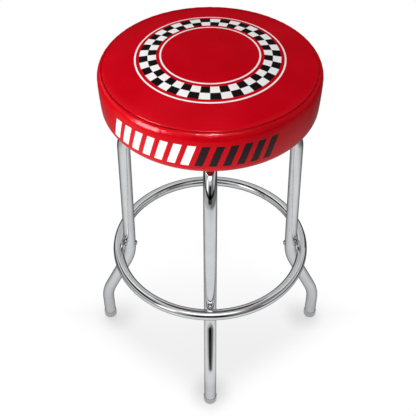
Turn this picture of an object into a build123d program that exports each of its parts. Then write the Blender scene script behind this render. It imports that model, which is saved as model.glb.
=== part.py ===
from build123d import *
from math import atan2, cos, pi, radians, sin, sqrt, tan
import os

# Swivel bar stool: four bent tube legs, a foot ring outside them, a ball-bearing swivel and a round padded seat.
# Millimetres, +Z up. The origin is on the floor, on the centre line that the seat turns about.
# The front leg is at -Y, and the right-hand leg is at +X.

# Overall heights
SEAT_HEIGHT = 737.0  # floor to the top of the crown
CROWN_RISE = 25.0  # seam to the top of the crown
BAND_HEIGHT = 87.0  # underside of the cushion to the seam

# Leg tube: the path of its axis is given by the distance from the centre line and the height of each corner
LEG_TUBE_OD = 25.4
LEG_TUBE_WALL = 1.5
LEG_INNER_END = 24.0
LEG_TOP_REACH = 167.2
KNEE_REACH = 176.0
KNEE_HEIGHT = 215.0
FOOT_REACH = 237.5
ANKLE_HEIGHT = 87.0
KNEE_BEND = 125.0
ANKLE_BEND = 105.0

# Foot caps
GLIDE_WALL = 1.4
GLIDE_HEIGHT = 17.0
GLIDE_FLOOR = 5.0
GLIDE_ROUND = 5.0
GLIDE_CLEARANCE = 0.1

# Foot ring
RING_TUBE_OD = 22.2
RING_TUBE_WALL = 1.5
RING_ABOVE_BEND = 5.0  # ring plane above the start of the knee bend
CONTACT_GAP = 0.15  # between a tube and what is drawn up against it

# Fasteners
SCREW_D = 6.0
SCREW_HOLE_GAP = 0.25
THREAD_GAP = 0.03
PAN_HEAD_D = 11.5
PAN_HEAD_H = 3.4
SOCKET_FLATS = 4.0
SOCKET_DEPTH = 2.0
HEX_FLATS = 10.0
HEX_HEAD_H = 4.0
NUT_H = 5.0
WASHER_OD = 12.5
WASHER_T = 1.2
BOLT_TIP = 1.0  # bolt end standing out of its nut
RIVET_NUT_OD = 8.4
RIVET_NUT_BULB_OD = 10.8
RIVET_NUT_BULB_LENGTH = 3.5
RIVET_NUT_LENGTH = 13.0
RIVET_NUT_RECESS = 1.0  # insert face below the crown of the ring tube

# Swivel
PLATE_T = 2.5
PLATE_CORNER = 14.0
PLATE_EDGE = 14.0  # outer bolt to the plate's corner
DISH_DEPTH = 4.0
DISH_SLOPE_WIDTH = 5.0
OUTER_BOLT = 87.0  # frame bolts from the centre line
BOLT_SPACING = 22.0
BOLT_END_MARGIN = 6.0  # outer bolt to the end of the straight tube run
DISH_BOLT_MARGIN = 9.0  # inner bolt to the foot of the dish
BALL_D = 7.94
BALL_COUNT = 18
BALL_GAP = 0.03
GROOVE_DEPTH = 1.1
RACE_MARGIN = 9.0  # ball circle to the rim of the dished disc
RETAINER_WIDTH = 13.0
RETAINER_T = 1.2
RETAINER_GAP = 0.15
PIVOT_OD = 14.0
PIVOT_BORE = 8.0
PIVOT_HEAD_OD = 23.0
PIVOT_HEAD_T = 1.6
PIVOT_WASHER_T = 1.0
PIVOT_RUNNING_GAP = 0.06
SEAT_SCREW_REACH = 84.0
SEAT_SCREW_EDGE = 13.0

# Seat
SEAM_REACH = 194.5
BULGE_OUT = 8.5  # side band's fullest line beyond the seam
BULGE_DROP = 26.0  # side band's fullest line below the seam
DRAW_IN_ANGLE = 5.7  # lean of the side band where the lower edge begins to turn in
EDGE_ROUND = 17.0
SHOULDER_INSET = 30.0  # width of the rolled edge of the crown
SHOULDER_DROP = 13.0  # top of the crown to the inner line of the rolled edge
SKIN_T = 1.2
SKIN_GAP = 0.2
SEAM_GAP = 0.1
SEAM_LIP = 8.0
SEAM_ROUND = 1.1
FLAP_WIDTH = 27.0  # width of the band that is turned in under the board
BOARD_T = 12.0
BOARD_MARGIN = 1.0  # board edge inside the start of the lower rounding
FOAM_SKIRT = 9.0  # depth of the foam over the edge of the board
COVER_T = 0.6
COVER_LAP = 14.0  # overlap of the dust cover on the band
COVER_STEP = 4.0
TEE_FLANGE_OD = 19.0
TEE_FLANGE_T = 1.4
TEE_BARREL_OD = 8.0
TEE_BARREL_RISE = 1.6  # end of the tee nut's barrel above the underside of the board
STAPLE_COUNT = 20
STAPLE_CROWN = 11.0
STAPLE_LEG = 8.0
STAPLE_WIRE = 0.8
STAPLE_GAP = 0.05

# Heights that follow from the sizes above
SEAM_Z = SEAT_HEIGHT - CROWN_RISE
CUSHION_BOTTOM_Z = SEAM_Z - BAND_HEIGHT
BOARD_Z = CUSHION_BOTTOM_Z + SKIN_T
BOARD_TOP_Z = BOARD_Z + BOARD_T
SWIVEL_TOP_Z = BOARD_Z - COVER_T
RACE_GAP = BALL_D + 2 * BALL_GAP - 2 * GROOVE_DEPTH
SWIVEL_HEIGHT = RACE_GAP + 2 * (PLATE_T + DISH_DEPTH)
SWIVEL_Z = SWIVEL_TOP_Z - SWIVEL_HEIGHT
RUN_Z = SWIVEL_Z - CONTACT_GAP - LEG_TUBE_OD / 2
LOWER_DISC_Z = SWIVEL_Z + DISH_DEPTH
UPPER_DISC_Z = SWIVEL_TOP_Z - DISH_DEPTH - PLATE_T
BALL_Z = (LOWER_DISC_Z + PLATE_T + UPPER_DISC_Z) / 2

# Leg angles and where its bends begin
SPLAY = atan2(KNEE_REACH - LEG_TOP_REACH, RUN_Z - KNEE_HEIGHT)
SLANT = atan2(FOOT_REACH - KNEE_REACH, KNEE_HEIGHT - ANKLE_HEIGHT)
TOP_TURN = pi / 2 - SPLAY
TOP_BEND = (LEG_TOP_REACH - OUTER_BOLT - BOLT_END_MARGIN) / tan(TOP_TURN / 2)
KNEE_TANGENT = KNEE_BEND * tan(abs(SLANT - SPLAY) / 2)

# Foot ring
RING_Z = KNEE_HEIGHT + KNEE_TANGENT * cos(SPLAY) + RING_ABOVE_BEND
LEG_REACH_AT_RING = KNEE_REACH - (RING_Z - KNEE_HEIGHT) * tan(SPLAY)
LEG_HALF = LEG_TUBE_OD / 2 / cos(SPLAY)
RING_REACH = LEG_REACH_AT_RING + LEG_HALF + CONTACT_GAP + RING_TUBE_OD / 2

# Swivel layout, from the centre line outwards
INNER_BOLT = OUTER_BOLT - BOLT_SPACING
PLATE_REACH = OUTER_BOLT + PLATE_EDGE
DISH_FOOT = INNER_BOLT - DISH_BOLT_MARGIN
DISC_RADIUS = DISH_FOOT - DISH_SLOPE_WIDTH
BALL_CIRCLE = DISC_RADIUS - RACE_MARGIN
SCREW_HOLE_D = SCREW_D + 2 * SCREW_HOLE_GAP
THREAD_D = SCREW_D + 2 * THREAD_GAP

# Seat layout
SHOULDER_REACH = SEAM_REACH - SHOULDER_INSET
BULGE_REACH = SEAM_REACH + BULGE_OUT
EDGE_CENTRE_Z = CUSHION_BOTTOM_Z + EDGE_ROUND
EDGE_START_Z = EDGE_CENTRE_Z - EDGE_ROUND * sin(radians(DRAW_IN_ANGLE))
SIDE_ARC = (SEAM_Z - BULGE_DROP - EDGE_START_Z) / sin(radians(DRAW_IN_ANGLE))
EDGE_START_REACH = BULGE_REACH - SIDE_ARC * (1 - cos(radians(DRAW_IN_ANGLE)))
EDGE_CENTRE_REACH = EDGE_START_REACH - EDGE_ROUND * cos(radians(DRAW_IN_ANGLE))
BOARD_RADIUS = EDGE_CENTRE_REACH - BOARD_MARGIN
FLAP_REACH = BOARD_RADIUS - FLAP_WIDTH
COVER_RADIUS = FLAP_REACH + COVER_LAP
STAPLE_REACH = FLAP_REACH + COVER_LAP / 2

# Legs by name, with the turn that brings the +X leg to its place
LEG_TURNS = {"front": -90, "right": 0, "back": 90, "left": 180}


def turned(shape, angle):
    """Copy of a shape turned about the centre line."""
    return Rot(0, 0, angle) * shape


def around(shape, count, start=0.0):
    """Copies of a shape, evenly spaced about the centre line."""
    return [turned(shape, start + 360 / count * i) for i in range(count)]


def rod(diameter, low, high, reach=0.0):
    """Upright round rod between two heights, at a distance from the centre line along +X."""
    return Pos(reach, 0, low) * extrude(Circle(diameter / 2), high - low)


def spun(face):
    """Solid of revolution of a face drawn with X as radius and Y as height."""
    return revolve(Plane.XZ * face, Axis.Z)


def area(r_low, r_high, z_low, z_high):
    """Upright rectangle in the half plane of a spun profile."""
    return Pos((r_low + r_high) / 2, (z_low + z_high) / 2) * Rectangle(r_high - r_low, z_high - z_low)


def hexagon(flats, height):
    """Hexagonal prism standing on the XY plane."""
    return extrude(RegularPolygon(flats / 2, 6, major_radius=False), height)


def pan_screw(length):
    """Pan-head screw with a hexagon socket: head above the XY plane, shank below it."""
    head_edge = PAN_HEAD_H / 3
    outline = Polyline((0, 0), (PAN_HEAD_D / 2, 0), (PAN_HEAD_D / 2, head_edge))
    crown = TangentArc((0, PAN_HEAD_H), (PAN_HEAD_D / 2, head_edge), tangent=(1, 0))
    head = spun(make_face([*outline.edges(), crown, Line((0, PAN_HEAD_H), (0, 0))]))
    socket = Pos(0, 0, PAN_HEAD_H - SOCKET_DEPTH) * hexagon(SOCKET_FLATS, PAN_HEAD_H)
    return head - socket + rod(SCREW_D, -length, 0)


def hex_bolt(length):
    """Hexagon-head bolt: head below the XY plane, shank above it."""
    return Pos(0, 0, -HEX_HEAD_H) * hexagon(HEX_FLATS, HEX_HEAD_H) + rod(SCREW_D, 0, length)


def leg_path():
    """Axis of the +X leg, from its inner end under the seat to the floor of its foot cap."""
    corners = [
        (LEG_INNER_END, 0, RUN_Z),
        (LEG_TOP_REACH, 0, RUN_Z),
        (KNEE_REACH, 0, KNEE_HEIGHT),
        (FOOT_REACH, 0, ANKLE_HEIGHT),
        (FOOT_REACH, 0, GLIDE_FLOOR),
    ]
    return FilletPolyline(*corners, radius=[TOP_BEND, KNEE_BEND, ANKLE_BEND])


def ring_screw_place():
    """Frame of the +X ring screw: origin under its head, with +Z pointing to the centre line."""
    head_reach = LEG_REACH_AT_RING - LEG_HALF - CONTACT_GAP
    return Plane(origin=(head_reach, 0, RING_Z), x_dir=(0, 1, 0), z_dir=(-1, 0, 0))


def radial_rod(diameter, inner, outer):
    """Level round rod along +X at the ring's height."""
    return Plane(origin=(inner, 0, RING_Z), z_dir=(1, 0, 0)) * extrude(Circle(diameter / 2), outer - inner)


def leg():
    """The +X leg: a bent tube with holes for two frame bolts and a ring screw."""
    path = leg_path()
    start = Plane(origin=path @ 0, z_dir=path % 0)
    section = Circle(LEG_TUBE_OD / 2) - Circle(LEG_TUBE_OD / 2 - LEG_TUBE_WALL)
    tube = sweep(start * section, path)
    for reach in (INNER_BOLT, OUTER_BOLT):
        tube -= rod(SCREW_HOLE_D, RUN_Z - LEG_TUBE_OD, RUN_Z + LEG_TUBE_OD, reach)
    return tube - radial_rod(SCREW_HOLE_D, LEG_REACH_AT_RING - LEG_TUBE_OD, LEG_REACH_AT_RING + LEG_TUBE_OD)


def glide():
    """The +X foot cap: a sleeve over the tube's end, with a rounded foot."""
    bore = LEG_TUBE_OD + 2 * GLIDE_CLEARANCE
    cap = rod(bore + 2 * GLIDE_WALL, 0, GLIDE_HEIGHT) - rod(bore, GLIDE_FLOOR, GLIDE_HEIGHT)
    foot_edge = cap.edges().filter_by(GeomType.CIRCLE).group_by(Axis.Z)[0]
    return Pos(FOOT_REACH, 0, 0) * fillet(foot_edge, GLIDE_ROUND)


def foot_ring():
    """Hollow tube ring outside the legs, with a hole for the insert of each ring screw."""
    minor = RING_TUBE_OD / 2
    ring = Torus(RING_REACH, minor) - Torus(RING_REACH, minor - RING_TUBE_WALL)
    ring = Pos(0, 0, RING_Z) * ring
    hole = radial_rod(RIVET_NUT_OD + 2 * THREAD_GAP, RING_REACH - RING_TUBE_OD, RING_REACH)
    return ring - around(hole, len(LEG_TURNS))


def ring_rivet_nut():
    """Threaded insert set in the +X side of the ring's inner wall."""
    face = RING_REACH - RING_TUBE_OD / 2 + RIVET_NUT_RECESS
    bulb = RING_REACH - sqrt((RING_TUBE_OD / 2 - RING_TUBE_WALL) ** 2 - (RIVET_NUT_BULB_OD / 2) ** 2)
    end = face + RIVET_NUT_LENGTH
    nut = radial_rod(RIVET_NUT_OD, face, end)
    nut += radial_rod(RIVET_NUT_BULB_OD, bulb + CONTACT_GAP, bulb + CONTACT_GAP + RIVET_NUT_BULB_LENGTH)
    return nut - radial_rod(THREAD_D, face, end)


def ring_screw():
    """The +X ring screw, from the inner side of the leg to the end of the insert."""
    place = ring_screw_place()
    end = RING_REACH - RING_TUBE_OD / 2 + RIVET_NUT_RECESS + RIVET_NUT_LENGTH - BOLT_TIP
    return place * pan_screw(end - place.origin.X)


def frame_fasteners():
    """One set of frame bolts, washers and nuts, on the +X leg."""
    head_z = RUN_Z - LEG_TUBE_OD / 2 - CONTACT_GAP
    washer_z = SWIVEL_Z + PLATE_T
    nut_z = washer_z + WASHER_T
    bolt_end = nut_z + NUT_H + BOLT_TIP
    bolts, washers, nuts = [], [], []
    for reach in (INNER_BOLT, OUTER_BOLT):
        washer = Circle(WASHER_OD / 2) - Circle(SCREW_HOLE_D / 2)
        bolts.append(Pos(reach, 0, head_z) * hex_bolt(bolt_end - head_z))
        washers.append(Pos(reach, 0, washer_z) * extrude(washer, WASHER_T))
        nuts.append(Pos(reach, 0, nut_z) * hexagon(HEX_FLATS, NUT_H) - rod(THREAD_D, nut_z, bolt_end, reach))
    return bolts, washers, nuts


def swivel_plate(reach, bore):
    """Dished square swivel plate lying on the XY plane, with its corners at a reach along X and Y."""
    side = sqrt(2) * (reach + PLATE_CORNER * (sqrt(2) - 1))
    flange = turned(RectangleRounded(side, side, PLATE_CORNER), 45) - Circle(DISH_FOOT)
    dish = Polyline(
        (bore / 2, DISH_DEPTH),
        (DISC_RADIUS, DISH_DEPTH),
        (DISH_FOOT, 0),
        (DISH_FOOT, PLATE_T),
        (DISC_RADIUS, DISH_DEPTH + PLATE_T),
        (bore / 2, DISH_DEPTH + PLATE_T),
        close=True,
    )
    groove = Torus(BALL_CIRCLE, BALL_D / 2 + BALL_GAP)
    groove_z = DISH_DEPTH + PLATE_T + RACE_GAP / 2
    return extrude(flange, PLATE_T) + spun(make_face(dish)) - Pos(0, 0, groove_z) * groove


def swivel_lower_plate():
    """Plate that is bolted on the legs, with its disc dished upwards."""
    plate = Pos(0, 0, SWIVEL_Z) * swivel_plate(PLATE_REACH, PIVOT_OD)
    for reach in (INNER_BOLT, OUTER_BOLT):
        hole = rod(SCREW_HOLE_D, SWIVEL_Z, SWIVEL_Z + PLATE_T, reach)
        plate -= around(hole, len(LEG_TURNS))
    return plate


def swivel_upper_plate():
    """Plate that is screwed under the seat, with its disc dished downwards and its corners between the legs."""
    bore = PIVOT_OD + 2 * PIVOT_RUNNING_GAP
    plate = turned(swivel_plate(SEAT_SCREW_REACH + SEAT_SCREW_EDGE, bore), 45)
    plate = Pos(0, 0, SWIVEL_TOP_Z) * (Rot(180, 0, 0) * plate)
    hole = rod(SCREW_HOLE_D, SWIVEL_TOP_Z - PLATE_T, SWIVEL_TOP_Z, SEAT_SCREW_REACH)
    return plate - around(hole, len(LEG_TURNS), 45)


def pivot_rivet():
    """Hollow rivet that holds the two plates together, headed under the lower disc and over the washer."""
    washer_z = UPPER_DISC_Z + PLATE_T + PIVOT_RUNNING_GAP
    head_z = washer_z + PIVOT_WASHER_T
    rivet = rod(PIVOT_HEAD_OD, LOWER_DISC_Z - PIVOT_HEAD_T, LOWER_DISC_Z)
    rivet += rod(PIVOT_OD, LOWER_DISC_Z, head_z)
    rivet += rod(PIVOT_HEAD_OD, head_z, head_z + PIVOT_HEAD_T)
    return rivet - rod(PIVOT_BORE, LOWER_DISC_Z - PIVOT_HEAD_T, head_z + PIVOT_HEAD_T)


def pivot_washer():
    """Bearing washer between the upper disc and the rivet's head."""
    low = UPPER_DISC_Z + PLATE_T + PIVOT_RUNNING_GAP
    return rod(PIVOT_HEAD_OD, low, low + PIVOT_WASHER_T) - rod(PIVOT_OD, low, low + PIVOT_WASHER_T)


def ball_retainer():
    """Flat ring with a pocket for each ball."""
    ring = Circle(BALL_CIRCLE + RETAINER_WIDTH / 2) - Circle(BALL_CIRCLE - RETAINER_WIDTH / 2)
    low = BALL_Z - RETAINER_T / 2
    pocket = rod(BALL_D + 2 * RETAINER_GAP, low, low + RETAINER_T, BALL_CIRCLE)
    return Pos(0, 0, low) * extrude(ring, RETAINER_T) - around(pocket, BALL_COUNT)


def balls():
    """Balls of the swivel, evenly spaced on the ball circle."""
    return around(Pos(BALL_CIRCLE, 0, BALL_Z) * Sphere(BALL_D / 2), BALL_COUNT)


def tangent_arc_end(start, end, lean):
    """Lean, from the level, of an arc where it ends, from its two ends and its lean where it starts."""
    chord = atan2(end[1] - start[1], end[0] - start[0])
    return 2 * chord - lean


def inset_arc(start, end, start_lean, end_lean, inset):
    """Arc between two points with known leans, moved inwards by an inset: outwards is left of its travel."""
    first = (start[0] + inset * sin(start_lean), start[1] - inset * cos(start_lean))
    last = (end[0] + inset * sin(end_lean), end[1] - inset * cos(end_lean))
    return TangentArc(first, last, tangent=(cos(start_lean), sin(start_lean)))


def crown_region(inset):
    """Half section of the cushion above the seam, drawn in by an inset from its outer face."""
    top, shoulder, seam = (0, SEAT_HEIGHT), (SHOULDER_REACH, SEAT_HEIGHT - SHOULDER_DROP), (SEAM_REACH, SEAM_Z)
    shoulder_lean = tangent_arc_end(top, shoulder, 0)
    seam_lean = tangent_arc_end(shoulder, seam, shoulder_lean)
    dome = inset_arc(top, shoulder, 0, shoulder_lean, inset)
    roll = inset_arc(shoulder, seam, shoulder_lean, seam_lean, inset)
    floor = roll @ 1
    walls = Polyline((floor.X, floor.Y), (0, floor.Y), (0, (dome @ 0).Y))
    return make_face([dome, roll, *walls.edges()])


def band_region(inset):
    """Half section of the cushion below the seam, drawn in by an inset from its outer face."""
    seam, bulge = (SEAM_REACH, SEAM_Z), (BULGE_REACH, SEAM_Z - BULGE_DROP)
    edge_start, edge_end = (EDGE_START_REACH, EDGE_START_Z), (EDGE_CENTRE_REACH, CUSHION_BOTTOM_Z)
    down, drawn_in, under = -pi / 2, -pi / 2 - radians(DRAW_IN_ANGLE), -pi
    seam_lean = tangent_arc_end(bulge, seam, down + pi) - pi
    swell = inset_arc(seam, bulge, seam_lean, down, inset)
    side = inset_arc(bulge, edge_start, down, drawn_in, inset)
    edge = inset_arc(edge_start, edge_end, drawn_in, under, inset)
    lid, base = swell @ 0, edge @ 1
    walls = Polyline((base.X, base.Y), (0, base.Y), (0, lid.Y), (lid.X, lid.Y))
    return make_face([swell, side, edge, *walls.edges()])


def seam_rounded(panel):
    """Panel section with the outermost corner, at the seam, rounded over."""
    return fillet(panel.vertices().sort_by(Axis.X)[-1], SEAM_ROUND)


def seat_top_panel():
    """Domed vinyl panel with a rolled edge, and a lip turned in at the seam."""
    low = SEAM_Z + SEAM_GAP / 2
    above = area(0, 2 * SEAM_REACH, low, 2 * SEAT_HEIGHT)
    whole = crown_region(0) & above
    lip = whole & area(SEAM_REACH - SEAM_LIP, SEAM_REACH, low, low + SKIN_T)
    return spun(seam_rounded(whole - crown_region(SKIN_T) + lip))


def seat_side_band():
    """Vinyl band round the cushion: a lip at the seam, a full side, and a flap turned in under the board."""
    high = SEAM_Z - SEAM_GAP / 2
    below = area(FLAP_REACH, 2 * SEAM_REACH, 0, high)
    whole = band_region(0) & below
    inside = area(0, SEAM_REACH - SEAM_LIP, BOARD_Z, high)
    lip_area = area(SEAM_REACH - SEAM_LIP, SEAM_REACH + BULGE_OUT, high - SKIN_T, high)
    section = whole - band_region(SKIN_T) - inside + (whole & lip_area)
    return spun(swell_rounded(section)) - staple_holes()


def swell_rounded(panel):
    """Band section with its upper outer corner, at the seam, rounded over."""
    return fillet(panel.vertices().group_by(Axis.Y)[-1].sort_by(Axis.X)[-1], SEAM_ROUND)


def seat_foam():
    """Crowned foam with a slot for the seam's lips, seated on the board and over its edge."""
    inset = SKIN_T + SKIN_GAP
    lips = area(SEAM_REACH - SEAM_LIP - SKIN_GAP, 2 * SEAM_REACH, SEAM_Z - inset, SEAM_Z + inset)
    section = crown_region(inset) + band_region(inset) - lips
    section -= area(0, BOARD_RADIUS + SKIN_GAP, 0, BOARD_TOP_Z)
    return spun(section - area(0, 2 * SEAM_REACH, 0, BOARD_TOP_Z - FOAM_SKIRT))


def tee_nut():
    """Tee nut of the +X seat screw, let into the top of the board."""
    flange_z = BOARD_TOP_Z - TEE_FLANGE_T
    barrel_z = BOARD_Z + TEE_BARREL_RISE
    nut = rod(TEE_FLANGE_OD, flange_z, BOARD_TOP_Z, SEAT_SCREW_REACH)
    nut += rod(TEE_BARREL_OD, barrel_z, flange_z, SEAT_SCREW_REACH)
    return nut - rod(THREAD_D, barrel_z, BOARD_TOP_Z, SEAT_SCREW_REACH)


def seat_screw():
    """The +X seat screw: its head under the upper plate, its end just inside the tee nut."""
    head_z = SWIVEL_TOP_Z - PLATE_T
    length = BOARD_TOP_Z - BOLT_TIP - head_z
    return Pos(SEAT_SCREW_REACH, 0, head_z) * (Rot(180, 0, 0) * pan_screw(length))


def seat_board():
    """Round plywood board with a recess for each tee nut, and the staples' holes."""
    board = rod(2 * BOARD_RADIUS, BOARD_Z, BOARD_TOP_Z)
    hole = rod(TEE_BARREL_OD, BOARD_Z, BOARD_TOP_Z, SEAT_SCREW_REACH)
    hole += rod(TEE_FLANGE_OD, BOARD_TOP_Z - TEE_FLANGE_T, BOARD_TOP_Z, SEAT_SCREW_REACH)
    return board - around(hole, len(LEG_TURNS), 45) - staple_holes()


def dust_cover():
    """Thin cloth under the board, stepped down over the edge of the band's flap."""
    step_start, step_end = FLAP_REACH - COVER_STEP - SKIN_GAP, FLAP_REACH - SKIN_GAP
    upper = [(0, BOARD_Z), (step_start, BOARD_Z), (step_end, CUSHION_BOTTOM_Z), (COVER_RADIUS, CUSHION_BOTTOM_Z)]
    lower = [(r, z - COVER_T) for r, z in reversed(upper)]
    cover = spun(make_face(Polyline(*upper, *lower, close=True)))
    hole = rod(SCREW_HOLE_D, BOARD_Z - COVER_T, BOARD_Z, SEAT_SCREW_REACH)
    return cover - around(hole, len(LEG_TURNS), 45) - staple_holes()


def staple_legs(width):
    """Two upright prongs of the +X staple, of a given wire width."""
    low = CUSHION_BOTTOM_Z - COVER_T
    spread = (STAPLE_CROWN - STAPLE_WIRE) / 2
    prong = extrude(Rectangle(width, width), STAPLE_LEG)
    return [Pos(STAPLE_REACH, side * spread, low) * prong for side in (-1, 1)]


def staple():
    """The +X staple: a crown under the dust cover and two prongs up into the board."""
    crown = extrude(Rectangle(STAPLE_WIRE, STAPLE_CROWN), STAPLE_WIRE)
    low = CUSHION_BOTTOM_Z - COVER_T - STAPLE_WIRE
    return (Pos(STAPLE_REACH, 0, low) * crown).fuse(*staple_legs(STAPLE_WIRE))


def staple_holes():
    """Holes that the staples' prongs make."""
    prongs = staple_legs(STAPLE_WIRE + 2 * STAPLE_GAP)
    return [hole for prong in prongs for hole in around(prong, STAPLE_COUNT)]


def every_leg(shape):
    """Copies of a +X piece, one on each leg."""
    return around(shape, len(LEG_TURNS))


def group(shapes):
    """One compound of the separate solids in a list of shapes."""
    return Compound(children=[solid for shape in shapes for solid in shape.solids()])


def build():
    """All pieces by name."""
    pieces = {}
    leg_shape, glide_shape = leg(), glide()
    for name, angle in LEG_TURNS.items():
        pieces[f"leg_{name}"] = turned(leg_shape, angle)
        pieces[f"glide_{name}"] = turned(glide_shape, angle)
    pieces["foot_ring"] = foot_ring()
    pieces["ring_screws"] = group(every_leg(ring_screw()))
    pieces["ring_rivet_nuts"] = group(every_leg(ring_rivet_nut()))
    for name, shapes in zip(("bolts", "washers", "nuts"), frame_fasteners()):
        pieces[f"frame_{name}"] = group([copy for shape in shapes for copy in every_leg(shape)])
    pieces["swivel_lower_plate"] = swivel_lower_plate()
    pieces["pivot_rivet"] = pivot_rivet()
    pieces["pivot_washer"] = pivot_washer()
    pieces["bearing_balls"] = group(balls())
    pieces["ball_retainer"] = ball_retainer()
    pieces["swivel_upper_plate"] = swivel_upper_plate()
    pieces["seat_screws"] = group(around(seat_screw(), len(LEG_TURNS), 45))
    pieces["tee_nuts"] = group(around(tee_nut(), len(LEG_TURNS), 45))
    pieces["seat_board"] = seat_board()
    pieces["seat_foam"] = seat_foam()
    pieces["seat_top_panel"] = seat_top_panel()
    pieces["seat_side_band"] = seat_side_band()
    pieces["dust_cover"] = dust_cover()
    pieces["cover_staples"] = group(around(staple(), STAPLE_COUNT))
    return pieces


os.makedirs("parts", exist_ok=True)
for piece_name, piece in build().items():
    export_step(piece, f"parts/{piece_name}.step")
print(f"ring height {RING_Z:.1f}, ring reach {RING_REACH:.1f}, bolts {INNER_BOLT:.1f} {OUTER_BOLT:.1f}")
print(f"ball circle {BALL_CIRCLE:.1f}, board radius {BOARD_RADIUS:.1f}, run height {RUN_Z:.1f}")
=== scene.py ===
"""Looks of a swivel bar stool: a round vinyl cushion on a chrome tube frame with a foot ring."""
import logging
import math
from dataclasses import dataclass, field
from enum import Enum
from functools import reduce
from typing import Dict, Optional, Sequence, Tuple, Union

import bmesh
import bpy
import numpy as np
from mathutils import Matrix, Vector


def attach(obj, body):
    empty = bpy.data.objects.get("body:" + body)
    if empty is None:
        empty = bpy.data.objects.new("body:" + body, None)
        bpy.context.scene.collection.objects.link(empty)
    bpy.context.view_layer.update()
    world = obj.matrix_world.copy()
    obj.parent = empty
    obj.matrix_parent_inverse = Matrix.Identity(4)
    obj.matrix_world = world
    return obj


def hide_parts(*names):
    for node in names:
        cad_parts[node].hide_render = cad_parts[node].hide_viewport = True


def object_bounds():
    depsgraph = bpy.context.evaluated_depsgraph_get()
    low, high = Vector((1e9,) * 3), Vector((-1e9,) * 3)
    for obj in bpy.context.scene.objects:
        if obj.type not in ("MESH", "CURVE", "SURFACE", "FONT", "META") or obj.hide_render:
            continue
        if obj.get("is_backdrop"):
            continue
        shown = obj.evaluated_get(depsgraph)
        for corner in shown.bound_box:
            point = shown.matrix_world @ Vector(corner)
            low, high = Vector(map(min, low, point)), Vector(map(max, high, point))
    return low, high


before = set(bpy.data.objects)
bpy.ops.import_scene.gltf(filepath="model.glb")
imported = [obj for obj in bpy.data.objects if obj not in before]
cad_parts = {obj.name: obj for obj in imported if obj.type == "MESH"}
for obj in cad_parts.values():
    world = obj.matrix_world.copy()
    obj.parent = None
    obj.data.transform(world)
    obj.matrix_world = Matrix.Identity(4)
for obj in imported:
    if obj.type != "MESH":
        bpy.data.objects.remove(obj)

CAD_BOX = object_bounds()
MM = 0.001
PHOTO_WIDTH = 416

LOG = logging.getLogger("stool")

Socket = bpy.types.NodeSocket
Outputs = bpy.types.NodeOutputs
Shader = bpy.types.NodeInputs
Value = Union[Socket, float, Sequence[float]]
Inputs = Dict[Union[str, int], Value]
Colour = Tuple[float, float, float]
Place = Tuple[float, float, float]
Point = Tuple[float, float]
Limits = Tuple[float, ...]


class Body(Enum):
    """The bodies that a piece can ride on."""

    FRAME = "frame"
    SEAT = "seat"


class Side(Enum):
    """The four legs, by the turn from +X in degrees."""

    FRONT = -90
    RIGHT = 0
    BACK = 90
    LEFT = 180


def rgba(colour: Colour) -> Tuple[float, ...]:
    """Colour with full alpha."""
    return (*colour, 1.0)


def grey(level: float) -> Tuple[float, ...]:
    """Grey with full alpha."""
    return (level, level, level, 1.0)


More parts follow.
